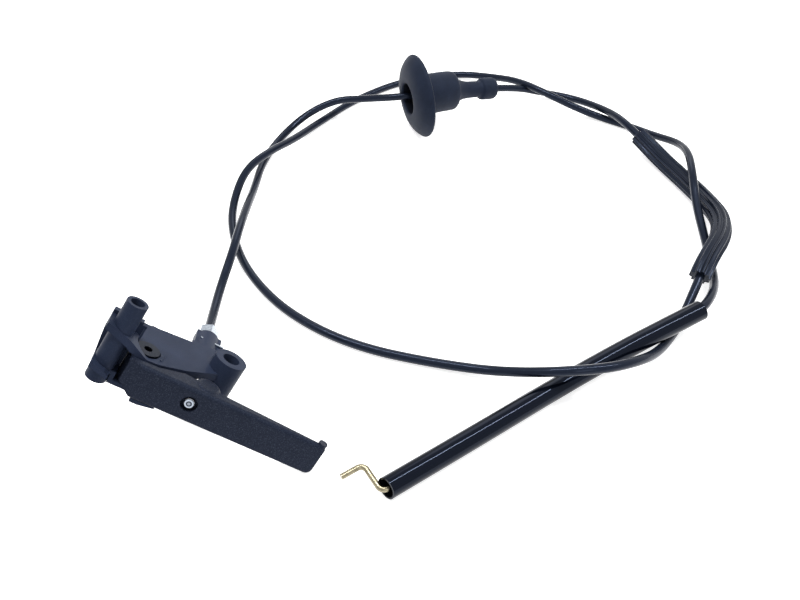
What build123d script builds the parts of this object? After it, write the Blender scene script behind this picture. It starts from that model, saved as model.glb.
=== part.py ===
"""Hood release cable: a moulded handle on its bracket, a sheathed pull cable laid in two turns,
a bulkhead grommet, a split ribbed sheath, a glossy sleeve and a hooked wire end."""
from build123d import *
from math import cos, pi, radians, sin, tan
import os

os.makedirs("parts", exist_ok=True)

# Place of the handle: its pivot side is held up by the stiff cable, the lever's tip is on the floor
handle_place = (-44.07, -21.5, 51.985)
handle_turn = (-27.0, 33.5, 11.0)

# Bracket sizes
plate_top = 17.5
plate_thick = 3.5
shelf_rise = 8.3
shelf_drop = 3.6
shelf_front = -5.0
block_left = -6.5
block_right = 6.5
block_back = 8.0
back_wall = 3.0
back_wall_top = 27.0
foot_top = 0.9
foot_thick = 1.8
foot_right = 26.0
foot_front = -9.2
foot_back = 10.0
foot_lip_left = 15.5
foot_left = -5.0
foot_left_under = 5.4
foot_left_thick = 2.4
foot_left_front = -7.5
foot_step_under = 3.0
foot_step_top = 4.8
foot_step_right = 3.6
hub_clear_front = -2.6
hub_clear_left = 6.3
riser_thick = 1.8
far_edge = 24.2
far_edge_slope = 3.5
rib_thick = 2.4
rib_bottom = 3.0
plate_front_left = (14.5, -5.0)
plate_front = ((19.5, -4.4), (31.0, 0.6), (49.0, 12.0))
nub_x = 13.0
nub_wide = 2.4
nub_deep = 1.2
tick_place = (19.9, 1.2)
tick_long = 4.8
tick_wide = 0.7
tick_high = 0.4
tick_turn = -14.0

# Screw bushes at the two ends of the bracket
bush_bottom = -2.0
left_bush_top = 36.5
left_bush_radius = 4.6
left_bush_bore = 3.0
right_bush_x = 48.0
right_bush_y = 16.5
right_bush_top = 23.5
right_bush_radius = 7.5
right_bush_bore = 4.0

# Lever pivot
pivot_x = 13.0
pivot_y = 3.0
pivot_radius = 3.0
pivot_bore = 1.9
pivot_head_radius = 5.3
pivot_head_high = 1.6
pivot_recess = 1.0
recess_gap = 0.6
pivot_foot_radius = 4.3
pivot_foot_high = 0.9
running_gap = 0.06
hub_radius = 6.2
hub_gap = 0.4
swing_radius = 8.85

# Lever sizes
lever_tip = 100.0
lever_root = 14.0
lever_face = -10.0
lever_bottom = 1.3
lever_top = 17.1
lever_wall = 2.4
lever_flange = 2.2
tip_depth = 2.0
middle_x = 51.0
middle_depth = 5.4
root_depth = 9.0
root_depth_x = 31.0
facet_x = 8.0
facet_y = -7.5
facet_bottom = 5.2
web_bottom = 5.2
tip_radius = 3.2
edge_radius = 1.9
low_edge_radius = 0.8
rib_places = (50.0, 64.0, 78.0)
lever_rib = 1.6
lip_radius = 2.1
lip_rise = 0.9
lip_long = 5.0
hump_x = 41.8
hump_y = -3.0
hump_radius = 6.2
hump_low = 10.6
hump_rise = 0.6
hump_round = 2.6

# Inner wire and its end in the lever
wire_x = 37.2
wire_z = 9.6
wire_tilt = 2.5
wire_radius = 0.75
wire_gap = 0.45
stop_radius = 2.3
stop_long = 2.6
stop_recess_radius = 3.7
stop_recess_deep = 2.9
wire_boss_radius = 5.6
wire_boss_long = 6.5

# Cable seat on the bracket and its metal fittings
seat_radius = 6.3
seat_front = 27.0
seat_back = 50.0
ferrule_radius = 3.0
ferrule_long = 12.0
ferrule_collar_radius = 4.4
ferrule_collar = 1.4
ferrule_cup_radius = 3.4
ferrule_cup_long = 10.4
ferrule_base = 1.6
clip_place = 41.0
clip_thick = 1.0
clip_gap = 0.1
clip_neck = 2.3
clip_width = 11.0
clip_reach = 7.6
clip_fork = 4.2
nut_flats = 9.2
nut_long = 9.0
seat_gap = 0.03

# Cable, sleeve, sheath and hook end
conduit_diameter = 5.0
sleeve_radius = 5.2
sleeve_bore = 4.2
sheath_bore = 3.1
sheath_radius = 5.2
sheath_ridge = 1.0
sheath_ridges = 9
sheath_split = 1.4
cap_radius = 3.1
cap_long = 11.0
cap_wall = 1.5
end_bore_long = 34.0
crimp_radius = 2.1
crimp_long = 9.0
crimp_overlap = 3.0
rod_radius = 1.4
rod_bend = 3.2
free_wire = 16.0
rod_past_mouth = 2.2
rod_leg = (-8.4, 12.6, 1.8)
rod_end = 11.5

# Route of the cable, chosen by hand, after its first straight run out of the handle
route = [
    (-17.8, 76.0, 6.5), (-13.8, 98.0, 12.5), (-12.8, 120.0, 13.5), (-12.8, 146.0, 9.0),
    (-12.8, 172.0, 3.0), (-11.8, 202.0, 2.6), (-2.8, 233.0, 2.6), (14.2, 255.0, 8.0),
    (35.2, 262.0, 15.0), (54.2, 258.0, 18.0), (80.2, 246.5, 26.0), (111.7, 256.4, 24.7),
    (164.9, 282.1, 14.2), (189.2, 291.0, 4.5), (212.2, 284.0, 3.5), (228.2, 262.0, 8.0),
    (235.2, 239.0, 14.0), (245.2, 218.0, 11.5), (256.2, 198.0, 6.6), (265.2, 175.0, 6.6),
    (271.2, 151.0, 8.5), (272.2, 128.0, 13.0), (264.2, 106.0, 17.0), (250.2, 87.0, 17.0),
    (239.2, 67.5, 9.5), (231.2, 54.5, 3.2), (222.2, 42.0, 3.2), (210.2, 27.0, 8.0),
    (196.2, 15.0, 16.0), (179.2, 7.0, 20.5), (159.2, 5.0, 20.5), (141.2, 11.0, 12.5),
    (122.2, 19.5, 4.0), (93.2, 26.5, 2.6), (63.2, 35.0, 2.6), (36.2, 49.0, 2.6),
    (11.2, 70.0, 2.6), (-9.8, 100.0, 2.6), (-21.8, 133.0, 2.6), (-23.3, 158.0, 6.0),
    (-17.8, 180.0, 13.0), (-4.8, 200.0, 13.0), (7.2, 223.0, 6.5), (22.2, 251.0, 2.6),
    (47.2, 284.0, 2.6), (84.2, 313.0, 2.6), (126.2, 324.0, 2.6), (154.2, 310.0, 7.0),
    (170.2, 291.0, 14.0), (188.2, 273.0, 14.0), (209.2, 265.0, 7.0), (228.2, 258.0, 2.6),
    (245.2, 247.0, 2.6), (259.2, 231.0, 5.0), (269.2, 210.0, 12.5), (267.2, 186.0, 20.0),
    (263.2, 164.0, 20.0), (262.2, 143.0, 11.0), (263.2, 120.0, 3.4), (260.2, 98.0, 3.0),
    (256.2, 80.5, 6.0), (248.7, 65.5, 11.0), (237.7, 51.2, 13.9), (212.2, 38.0, 11.1),
    (187.2, 25.0, 7.4), (156.2, 6.5, 4.7), (117.2, -20.0, 4.7), (102.2, -30.0, 4.7),
]
sheath_first = 17
sheath_last = 23
sleeve_route = [
    (237.2, 51.0, 14.4), (212.2, 38.0, 11.8), (187.2, 25.0, 8.1), (156.2, 6.5, 5.4),
    (117.2, -20.0, 5.4), (75.2, -48.0, 5.4),
]

# Grommet: its axis runs along the cable's straight run through it
grommet_set_back = 22.0
flange_radius = 28.0
flange_thick = 3.2
flange_dish = 5.0
mouth_radius = 10.8
body_radius = 13.0
body_end = 33.0
body_bore = 10.2
bore_end = 27.0
neck_radius = 5.6
neck_start = 38.5
collar_radius = 7.3
collar_start = 55.0
grommet_end = 67.0
throat_start = 40.0

handle = Plane(Location(handle_place, handle_turn))


def level(height):
    """Plane across the handle's pivot axis at a height above the lever's lower edge."""
    return handle.offset(height)


def facing(depth):
    """Plane that looks at the lever's front face, at a depth behind the pivot line."""
    origin = handle.from_local_coords((0, depth, 0))
    return Plane(origin=origin, x_dir=handle.x_dir, z_dir=-handle.y_dir)


def guide(depth):
    """Plane across the pull wire, centred on it, at a depth behind the pivot line."""
    way = handle.x_dir * sin(radians(wire_tilt)) + handle.y_dir * cos(radians(wire_tilt))
    side = handle.x_dir * cos(radians(wire_tilt)) - handle.y_dir * sin(radians(wire_tilt))
    origin = handle.from_local_coords((wire_x, lever_face, wire_z)) + way * (depth - lever_face)
    return Plane(origin=origin, x_dir=side, z_dir=-way)


def across(station):
    """Plane across the lever at a distance along it."""
    origin = handle.from_local_coords((station, 0, 0))
    return Plane(origin=origin, x_dir=handle.y_dir, z_dir=handle.x_dir)


def turn_radii(points):
    """Largest radius that each turn's two runs allow."""
    radii = []
    for before, here, after in zip(points, points[1:], points[2:]):
        first, second = here - before, after - here
        half_turn = radians(first.get_angle(second)) / 2
        radii.append(0.45 * min(first.length, second.length) / tan(half_turn))
    return radii


def spine(points, radii):
    """Straight runs joined by tangent arcs."""
    with BuildLine() as line:
        FilletPolyline(*points, radius=radii)
    return line.wire()


# Bracket: one moulding with a raised shelf, a foot, two screw bushes and the cable seat
shelf_top = plate_top + shelf_rise
plate_under = plate_top - plate_thick
seat_right = wire_x + seat_radius
plate_right = right_bush_x + right_bush_radius
with BuildPart() as bracket:
    with BuildSketch(facing(block_back - back_wall)):
        with BuildLine():
            upper = FilletPolyline(
                (block_left, shelf_top), (block_right - 1.5, shelf_top - shelf_drop),
                (pivot_x + 0.5, plate_top), (pivot_x + 2.0, plate_top), radius=5.0,
            )
            under = FilletPolyline(
                (block_left, shelf_top - 3.2), (block_right - 2.5, shelf_top - 3.2 - shelf_drop),
                (pivot_x - 1.5, plate_under), (pivot_x + 2.0, plate_under), radius=5.0,
            )
            Line(upper @ 0, under @ 0)
            Line(upper @ 1, under @ 1)
        make_face()
    extrude(amount=block_back - back_wall - shelf_front)
    with BuildSketch(level(plate_under)):
        with BuildLine():
            Polyline(
                (block_right + 1.5, shelf_front), plate_front_left, *plate_front,
                (right_bush_x, right_bush_y), (seat_right - 1.0, seat_front + 3.0),
                (wire_x - seat_radius, seat_front + 3.0), (wire_x - seat_radius, far_edge + far_edge_slope),
                (block_right + 1.5, far_edge), close=True,
            )
        make_face()
    extrude(amount=plate_thick)
    with BuildSketch(level(plate_under - 0.5)):
        with BuildLine():
            Polyline((3.0, shelf_front - 1.0), (11.5, shelf_front - 1.0), (11.5, -2.5), (3.0, -2.5), close=True)
        make_face()
        with Locations((pivot_x, pivot_y)):
            Circle(swing_radius, mode=Mode.SUBTRACT)
    extrude(amount=lever_top + 0.3 - plate_under + 0.5, mode=Mode.SUBTRACT)
    with BuildSketch(level(plate_under)):
        with Locations(((block_right + block_left) / 2 + 1.0, block_back - back_wall / 2)):
            Rectangle(block_right - block_left + 2.0, back_wall)
    extrude(amount=shelf_top - plate_under)
    with BuildSketch(level(plate_top - nub_deep)):
        with Locations((nub_x, far_edge)):
            Rectangle(nub_wide, 2 * nub_deep)
    extrude(amount=nub_deep)
    with BuildSketch(level(plate_top)):
        with Locations(Location(tick_place, tick_turn)):
            Rectangle(tick_wide, tick_long)
    extrude(amount=tick_high)
    with BuildSketch(facing(block_back)):
        with BuildLine():
            Polyline(
                (foot_left, foot_left_under + foot_left_thick), (1.5, foot_step_top + 1.2), (3.2, foot_step_top),
                (hub_clear_left, foot_step_top), (hub_clear_left, foot_step_under), (4.0, foot_step_under),
                (foot_left, foot_left_under), close=True,
            )
        make_face()
    extrude(amount=block_back - foot_left_front)
    with BuildSketch(level(bush_bottom)):
        with BuildLine():
            Polyline(
                (foot_step_right, foot_left_front - 1.0), (foot_right, foot_left_front - 1.0),
                (foot_right, block_back + 1.0), (hub_clear_left, block_back + 1.0),
                (hub_clear_left, hub_clear_front), (foot_step_right, hub_clear_front), close=True,
            )
        make_face()
    extrude(amount=foot_step_top + 0.2 - bush_bottom, mode=Mode.SUBTRACT)
    with BuildSketch(level(foot_top - foot_thick)):
        with BuildLine():
            Polyline(
                (hub_clear_left - riser_thick, hub_clear_front), (foot_lip_left, hub_clear_front),
                (foot_lip_left, foot_front), (foot_right, foot_front), (foot_right, foot_back),
                (hub_clear_left - riser_thick, foot_back), close=True,
            )
        make_face()
    extrude(amount=foot_thick)
    with BuildSketch(facing(foot_back)):
        with BuildLine():
            Polyline((foot_right - 7.0, foot_top - foot_thick - 1.0), (foot_right - 7.0, foot_top - foot_thick),
                     (foot_right + 1.0, foot_top - 0.4), (foot_right + 1.0, foot_top - foot_thick - 1.0), close=True)
        make_face()
    extrude(amount=foot_back - foot_front, mode=Mode.SUBTRACT)
    with BuildSketch(level(foot_top - foot_thick)):
        with BuildLine():
            Polyline((hub_clear_left - riser_thick, hub_clear_front), (hub_clear_left, hub_clear_front),
                     (hub_clear_left, block_back), (hub_clear_left - riser_thick, block_back), close=True)
        make_face()
    extrude(amount=foot_step_top - foot_top + foot_thick)
    with BuildSketch(level(foot_top)):
        with Locations(((block_left + block_right) / 2, block_back - back_wall / 2)):
            Rectangle(block_right - block_left, back_wall)
    extrude(amount=back_wall_top - foot_top)
    with BuildSketch(facing(block_back)):
        with BuildLine():
            Polyline((block_left - 0.5, plate_top), (block_left, plate_top), (foot_left, foot_left_under),
                     (foot_left, bush_bottom), (block_left - 0.5, bush_bottom), close=True)
        make_face()
    extrude(amount=back_wall, mode=Mode.SUBTRACT)
    with BuildSketch(facing(block_back)):
        with BuildLine():
            Polyline(
                (foot_left, bush_bottom), (foot_left, foot_left_under), (4.0, foot_step_under),
                (hub_clear_left - riser_thick, foot_step_under), (hub_clear_left - riser_thick, bush_bottom),
                close=True,
            )
        make_face()
    extrude(amount=back_wall, mode=Mode.SUBTRACT)
    with BuildSketch(level(foot_top)):
        with BuildLine():
            Polyline(
                (block_right - back_wall, block_back - 1.0), (block_right, block_back - back_wall),
                (block_right + 1.5, block_back - 0.5), (block_right + 1.5 + rib_thick, block_back + 3.0),
                (block_right + 1.5 + rib_thick, far_edge - rib_thick),
                (wire_x - seat_radius + 2.0, far_edge + far_edge_slope - rib_thick),
                (wire_x - seat_radius + 2.0, far_edge + far_edge_slope - 0.4),
                (block_right + 1.9, far_edge - 0.4), (block_right + 1.9, block_back + 3.0),
                (block_right - back_wall, block_back + 1.0), close=True,
            )
        make_face()
    extrude(amount=plate_under - foot_top)
    with BuildSketch(guide(seat_back)):
        Circle(seat_radius)
        with Locations((0, (plate_under - wire_z) / 2)):
            Rectangle(2 * seat_radius, plate_under - wire_z)
    extrude(amount=seat_back - seat_front)
    with BuildSketch(level(bush_bottom)):
        Circle(left_bush_radius)
    extrude(amount=left_bush_top - bush_bottom)
    with BuildSketch(level(bush_bottom)):
        with Locations((right_bush_x, right_bush_y)):
            Circle(right_bush_radius)
    extrude(amount=right_bush_top - bush_bottom)
    with BuildSketch(level(rib_bottom)):
        with BuildLine():
            Polyline(
                (right_bush_x - 2.0, right_bush_y), (right_bush_x + 2.0, right_bush_y),
                (wire_x + seat_radius, seat_front + 4.0), (wire_x + 2.0, seat_front + 4.0), close=True,
            )
        make_face()
    extrude(amount=plate_under - rib_bottom)
    with BuildSketch(level(bush_bottom)):
        Circle(left_bush_bore)
        with Locations((right_bush_x, right_bush_y)):
            Circle(right_bush_bore)
    extrude(amount=left_bush_top - bush_bottom, mode=Mode.SUBTRACT)
    with BuildSketch(level(plate_top - pivot_recess)):
        with Locations((pivot_x, pivot_y)):
            Circle(pivot_head_radius + recess_gap)
    extrude(amount=shelf_rise, mode=Mode.SUBTRACT)
    with BuildSketch(level(foot_top - foot_thick)):
        with Locations((pivot_x, pivot_y)):
            Circle(pivot_radius)
    extrude(amount=plate_top + foot_thick, mode=Mode.SUBTRACT)
    with BuildSketch(guide(seat_back)):
        Circle(ferrule_radius + seat_gap)
    extrude(amount=seat_back - seat_front, mode=Mode.SUBTRACT)
    with BuildSketch(guide(clip_place + clip_thick)):
        with Locations((seat_radius + clip_reach - clip_fork - clip_gap, 0)):
            Rectangle(2 * (seat_radius + clip_reach), clip_width)
    extrude(amount=clip_thick + clip_gap, mode=Mode.SUBTRACT)
bracket.part.label = "bracket"

# Pivot pin: a hollow stud whose ringed head shows on the plate
with BuildPart() as pivot_pin:
    with BuildSketch(level(foot_top - foot_thick - pivot_foot_high)):
        with Locations((pivot_x, pivot_y)):
            Circle(pivot_radius)
    extrude(amount=plate_top - foot_top + foot_thick + pivot_foot_high)
    with BuildSketch(level(plate_top - pivot_recess)):
        with Locations((pivot_x, pivot_y)):
            Circle(pivot_head_radius)
    extrude(amount=pivot_head_high)
    with BuildSketch(level(foot_top - foot_thick - pivot_foot_high)):
        with Locations((pivot_x, pivot_y)):
            Circle(pivot_foot_radius)
    extrude(amount=pivot_foot_high)
    with BuildSketch(level(bush_bottom)):
        with Locations((pivot_x, pivot_y)):
            Circle(pivot_bore)
    extrude(amount=left_bush_top - bush_bottom, mode=Mode.SUBTRACT)
pivot_pin.part.label = "pivot_pin"


def channel_back(station):
    """How far back the lever's flanges reach at a distance along it."""
    if station > middle_x:
        share = (station - middle_x) / (lever_tip - middle_x)
        return lever_face + middle_depth + share * (tip_depth - middle_depth)
    share = (station - root_depth_x) / (middle_x - root_depth_x)
    return lever_face + root_depth + share * (middle_depth - root_depth)


# Lever: a tapering channel, open at the back, with its hub, ribs, cable boss and tip lip
hub_top = plate_under - hub_gap
with BuildPart() as hump:
    with BuildSketch(level(hump_low)):
        with Locations((hump_x, hump_y)):
            Circle(hump_radius)
    extrude(amount=lever_top + hump_rise - hump_low)
    fillet(hump.faces().sort_by(Axis(handle.origin, handle.z_dir))[-1].edges(), hump_round)
with BuildPart() as lever:
    with BuildSketch(level(lever_bottom)):
        with BuildLine():
            Polyline(
                (facet_x, facet_y), (lever_root, lever_face), (lever_tip, lever_face),
                (lever_tip, channel_back(lever_tip)), (middle_x, channel_back(middle_x)),
                (root_depth_x, channel_back(root_depth_x)), (19.5, -5.6), (lever_root, -6.0),
                (facet_x + 0.6, facet_y + 1.4), close=True,
            )
        make_face()
    extrude(amount=lever_top - lever_bottom)
    tip_corner = handle.from_local_coords((lever_tip, lever_face, lever_bottom))
    fillet(lever.edges().sort_by_distance(tip_corner).filter_by(Axis(tip_corner, handle.y_dir))[0], tip_radius)
    for height, radius in ((lever_bottom, low_edge_radius), (lever_top, edge_radius)):
        near = handle.from_local_coords((middle_x, lever_face, height))
        fillet(lever.edges().filter_by(Axis(near, handle.x_dir)).sort_by_distance(near)[0], radius)
    with BuildSketch(level(lever_bottom + lever_flange)):
        with BuildLine():
            Polyline(
                (lever_root + 2.0, lever_face + lever_wall), (lever_tip - lever_wall, lever_face + lever_wall),
                (lever_tip - lever_wall, block_back), (lever_root + 2.0, block_back), close=True,
            )
        make_face()
    extrude(amount=lever_top - lever_bottom - 2 * lever_flange, mode=Mode.SUBTRACT)
    for station in rib_places:
        with BuildSketch(across(station)):
            with BuildLine():
                Polyline(
                    (lever_face + 1.0, lever_bottom + 1.0), (channel_back(station + lever_rib), lever_bottom + 1.0),
                    (channel_back(station + lever_rib), lever_top - 1.0), (lever_face + 1.0, lever_top - 1.0),
                    close=True,
                )
            make_face()
        extrude(amount=lever_rib)
    with BuildSketch(level(web_bottom)):
        with BuildLine():
            Polyline(
                (facet_x, facet_y), (lever_root, lever_face + 1.0), (root_depth_x + 3.0, lever_face + 1.0),
                (pivot_x + hub_radius, pivot_y), (pivot_x - hub_radius + 1.4, pivot_y),
                (facet_x + 1.0, facet_y + 3.0), close=True,
            )
        make_face()
    extrude(amount=hub_top - web_bottom)
    with BuildSketch(level(lever_bottom)):
        with Locations((pivot_x, pivot_y)):
            Circle(hub_radius)
    extrude(amount=hub_top - lever_bottom)
    add(hump.part)
    with BuildSketch(guide(lever_face + lever_wall + wire_boss_long)):
        Circle(wire_boss_radius)
    extrude(amount=wire_boss_long + 1.0)
    with BuildSketch(level(lever_top - lip_long)):
        with Locations((lever_tip - lip_radius, lever_face + lip_radius)):
            Circle(lip_radius)
    extrude(amount=lip_long + lip_rise)
    with BuildSketch(facing(shelf_front)):
        with BuildLine():
            Polyline((0, lever_bottom), (facet_x, facet_bottom), (facet_x + 0.4, facet_bottom),
                     (lever_root + 0.6, lever_bottom), close=True)
        make_face()
    extrude(amount=shelf_front - lever_face, mode=Mode.SUBTRACT)
    with BuildSketch(level(lever_top)):
        with Locations((pivot_x - 2.0, pivot_y + 2.0)):
            Rectangle(2 * hub_radius + 8.0, 14.0)
    extrude(amount=-(lever_top - hub_top), mode=Mode.SUBTRACT)
    with BuildSketch(level(lever_bottom)):
        with Locations((pivot_x, pivot_y)):
            Circle(pivot_radius + running_gap)
    extrude(amount=lever_top, mode=Mode.SUBTRACT)
    with BuildSketch(guide(lever_face + stop_recess_deep)):
        Circle(stop_recess_radius)
    extrude(amount=stop_recess_deep + 0.4, mode=Mode.SUBTRACT)
    with BuildSketch(guide(seat_front)):
        Circle(wire_radius + wire_gap)
    extrude(amount=seat_front - lever_face, mode=Mode.SUBTRACT)
lever.part.label = "lever"

# Wire stop: the turned nipple crimped on the wire, seated in the lever's front recess
with BuildPart() as wire_stop:
    with BuildSketch(guide(lever_face + stop_recess_deep)):
        Circle(stop_radius)
    extrude(amount=stop_long)
    chamfer(wire_stop.faces().sort_by(Axis(handle.origin, -handle.y_dir))[-1].edges(), 0.4)
wire_stop.part.label = "wire_stop"

# Inner wire between the lever and the cable seat
ferrule_front = seat_back - ferrule_long
with BuildPart() as pull_wire:
    with BuildSketch(guide(seat_back)):
        Circle(wire_radius)
    extrude(amount=seat_back - lever_face - stop_recess_deep)
pull_wire.part.label = "pull_wire"

# Ferrule: a steel bush in the seat with a collar and a cup for the cable's end
cup_floor = seat_back + ferrule_collar + ferrule_base
cup_mouth = seat_back + ferrule_collar + ferrule_cup_long
with BuildPart() as conduit_ferrule:
    with BuildSketch(guide(seat_back)):
        Circle(ferrule_radius)
    extrude(amount=ferrule_long)
    with BuildSketch(guide(seat_back + ferrule_collar)):
        Circle(ferrule_collar_radius)
    extrude(amount=ferrule_collar)
    with BuildSketch(guide(cup_mouth)):
        Circle(ferrule_cup_radius)
    extrude(amount=ferrule_cup_long)
    with BuildSketch(guide(cup_mouth)):
        Circle(conduit_diameter / 2)
    extrude(amount=cup_mouth - cup_floor, mode=Mode.SUBTRACT)
    with BuildSketch(guide(cup_mouth)):
        Circle(wire_radius + wire_gap)
    extrude(amount=cup_mouth - ferrule_front, mode=Mode.SUBTRACT)
    with BuildSketch(guide(clip_place + clip_thick)):
        Circle(ferrule_radius + 1.0)
        Circle(clip_neck, mode=Mode.SUBTRACT)
    extrude(amount=clip_thick + clip_gap, mode=Mode.SUBTRACT)
conduit_ferrule.part.label = "conduit_ferrule"

# Retaining clip: a forked steel plate pushed sideways into the ferrule's groove
with BuildPart() as retaining_clip:
    with BuildSketch(guide(clip_place + clip_thick)):
        with Locations(((clip_reach - clip_fork) / 2, 0)):
            Rectangle(clip_reach + clip_fork, clip_width - 2 * clip_gap)
        with Locations((-clip_fork / 2, 0)):
            Rectangle(clip_fork, 2 * clip_neck, mode=Mode.SUBTRACT)
        Circle(clip_neck, mode=Mode.SUBTRACT)
    extrude(amount=clip_thick)
retaining_clip.part.label = "retaining_clip"

# Adjuster nut: a plated hexagon over the ferrule's cup
with BuildPart() as adjuster_nut:
    with BuildSketch(guide(seat_back + ferrule_collar + nut_long)):
        RegularPolygon(nut_flats / 2, 6, major_radius=False, rotation=30)
        Circle(ferrule_cup_radius, mode=Mode.SUBTRACT)
    extrude(amount=nut_long)
adjuster_nut.part.label = "adjuster_nut"

# Cable: straight runs joined by the largest arcs that they allow
cable_start = guide(cup_floor).origin
cable_exit = guide(cup_mouth + 10.0).origin
points = [cable_start, cable_exit] + [Vector(*point) for point in route]
radii = turn_radii(points)
cable_path = spine(points, radii)
print("cable radii", [round(radius) for radius in radii])
print("cable runs", [round((b - a).length) for a, b in zip(points, points[1:])])
with BuildPart() as outer_conduit:
    with BuildSketch(Plane(origin=cable_path @ 0, z_dir=cable_path % 0)):
        Circle(conduit_diameter / 2)
    sweep(path=cable_path)
    with BuildSketch(Plane(origin=cable_path @ 1, z_dir=cable_path % 1)):
        Circle(wire_radius + wire_gap)
    extrude(amount=-end_bore_long / 2, mode=Mode.SUBTRACT)
outer_conduit.part.label = "outer_conduit"
section = pi * (conduit_diameter / 2) ** 2
print("cable length", round(cable_path.length), "volume ratio", outer_conduit.part.volume / section / cable_path.length)

# Sleeve: a glossy tube over the cable's far end
sleeve_points = [Vector(*point) for point in sleeve_route]
sleeve_radii = turn_radii(sleeve_points)
sleeve_path = spine(sleeve_points, sleeve_radii)
print("sleeve radii", [round(radius) for radius in sleeve_radii], "length", round(sleeve_path.length))
with BuildPart() as sleeve:
    with BuildSketch(Plane(origin=sleeve_path @ 0, z_dir=sleeve_path % 0)):
        Circle(sleeve_radius)
        Circle(sleeve_bore, mode=Mode.SUBTRACT)
    sweep(path=sleeve_path)
sleeve.part.label = "sleeve"

# Split sheath: a ridged tube with a slit, round the cable between two of its turns
sheath_points = points[sheath_first + 2:sheath_last + 3]
sheath_start = (points[sheath_first + 1] + points[sheath_first + 2]) / 2
sheath_end = (points[sheath_last + 2] + points[sheath_last + 3]) / 2
sheath_path = spine([sheath_start] + sheath_points + [sheath_end], radii[sheath_first + 1:sheath_last + 2])
with BuildPart() as split_sheath:
    start = Plane(origin=sheath_path @ 0, z_dir=sheath_path % 0)
    with BuildSketch(start):
        Circle(sheath_radius)
        with PolarLocations(sheath_radius, sheath_ridges, start_angle=180 / sheath_ridges):
            Rectangle(2 * sheath_ridge, 1.5 * sheath_ridge)
        Circle(sheath_bore, mode=Mode.SUBTRACT)
        with Locations((0, -sheath_radius)):
            Rectangle(sheath_split, 2 * (sheath_radius - sheath_bore) + 3.0, mode=Mode.SUBTRACT)
    sweep(path=sheath_path)
split_sheath.part.label = "split_sheath"
print("sheath length", round(sheath_path.length))

# Grommet: a rubber bulkhead seal turned about the cable's straight run
grommet_axis = (Vector(*route[12]) - Vector(*route[11])).normalized()
grommet_place = Vector(*route[11]) - grommet_axis * grommet_set_back
grommet_side = grommet_axis.cross(Vector(0, 0, 1)).normalized()
grommet_plane = Plane(origin=grommet_place, x_dir=grommet_axis, z_dir=grommet_side)
with BuildPart() as grommet:
    with BuildSketch(grommet_plane):
        with BuildLine():
            front = Spline(
                (-3.0, mouth_radius), (-2.6, 18.0), (flange_dish - 2.0, flange_radius - 1.4),
                tangents=((0, 1), (1, 0.9)),
            )
            rim = ThreePointArc(
                front @ 1, (flange_dish + 0.4, flange_radius), (flange_dish + flange_thick - 1.4, flange_radius - 1.6),
            )
            back = Spline(
                rim @ 1, (flange_dish + 0.6, 20.0), (flange_dish + 4.0, body_radius),
                tangents=((-0.9, -1), (1, -0.2)),
            )
            shoulder = FilletPolyline(
                back @ 1, (body_end, body_radius), (body_end + 1.5, neck_radius + 2.0),
                (neck_start, neck_radius), (collar_start - 1.0, neck_radius), (collar_start, collar_radius),
                (grommet_end - 2.0, collar_radius), (grommet_end, collar_radius - 1.6), radius=0.8,
            )
            Polyline(
                shoulder @ 1, (grommet_end, conduit_diameter / 2), (throat_start, conduit_diameter / 2),
                (bore_end, body_bore), (2.0, body_bore), front @ 0,
            )
        make_face()
    revolve(axis=Axis(grommet_place, grommet_axis))
grommet.part.label = "grommet"

# Metal end cap on the cable inside the sleeve
end_way = (cable_path % 1).normalized()
end_plane = Plane(origin=cable_path @ 1, z_dir=end_way)
with BuildPart() as conduit_end_cap:
    with BuildSketch(end_plane.offset(cap_wall)):
        Circle(cap_radius)
    extrude(amount=-cap_long)
    with BuildSketch(end_plane):
        Circle(conduit_diameter / 2)
    extrude(amount=-cap_long, mode=Mode.SUBTRACT)
    with BuildSketch(end_plane.offset(cap_wall)):
        Circle(wire_radius + wire_gap)
    extrude(amount=-cap_long, mode=Mode.SUBTRACT)
conduit_end_cap.part.label = "conduit_end_cap"

# Inner wire out of the end cap, free to slide in it
with BuildPart() as end_wire:
    with BuildSketch(end_plane.offset(-2.0)):
        Circle(wire_radius)
    extrude(amount=2.0 + free_wire + crimp_overlap)
end_wire.part.label = "end_wire"

# Crimp that joins the wire to the hooked rod
with BuildPart() as wire_crimp:
    with BuildSketch(end_plane.offset(free_wire)):
        Circle(crimp_radius)
        Circle(wire_radius, mode=Mode.SUBTRACT)
    extrude(amount=crimp_overlap)
    with BuildSketch(end_plane.offset(free_wire + crimp_overlap)):
        Circle(crimp_radius)
        Circle(rod_radius, mode=Mode.SUBTRACT)
    extrude(amount=crimp_long - crimp_overlap)
wire_crimp.part.label = "wire_crimp"

# Hooked rod: out of the sleeve, across, and on again
rod_start = end_plane.origin + end_way * (free_wire + crimp_overlap)
mouth = Vector(*sleeve_route[-1])
rod_run = (mouth - rod_start).dot(end_way)
rod_turn_point = rod_start + end_way * (rod_run + rod_past_mouth)
rod_far_point = rod_turn_point + Vector(*rod_leg)
rod_tip = rod_far_point + end_way * rod_end
rod_path = spine([rod_start, rod_turn_point, rod_far_point, rod_tip], [rod_bend, rod_bend])
with BuildPart() as hook_rod:
    with BuildSketch(Plane(origin=rod_start, z_dir=end_way)):
        Circle(rod_radius)
    sweep(path=rod_path)
hook_rod.part.label = "hook_rod"
print("rod inside", round(rod_run, 1), "mouth offset", (rod_start + end_way * rod_run - mouth).length)

pieces = [
    bracket, pivot_pin, lever, wire_stop, pull_wire, conduit_ferrule, retaining_clip, adjuster_nut,
    outer_conduit, sleeve, split_sheath, grommet, conduit_end_cap, end_wire, wire_crimp, hook_rod,
]
for piece in pieces:
    export_step(piece.part, f"parts/{piece.part.label}.step")
    box = piece.part.bounding_box()
    print(piece.part.label, round(piece.part.volume), len(piece.part.solids()), box.min, box.max)
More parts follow.
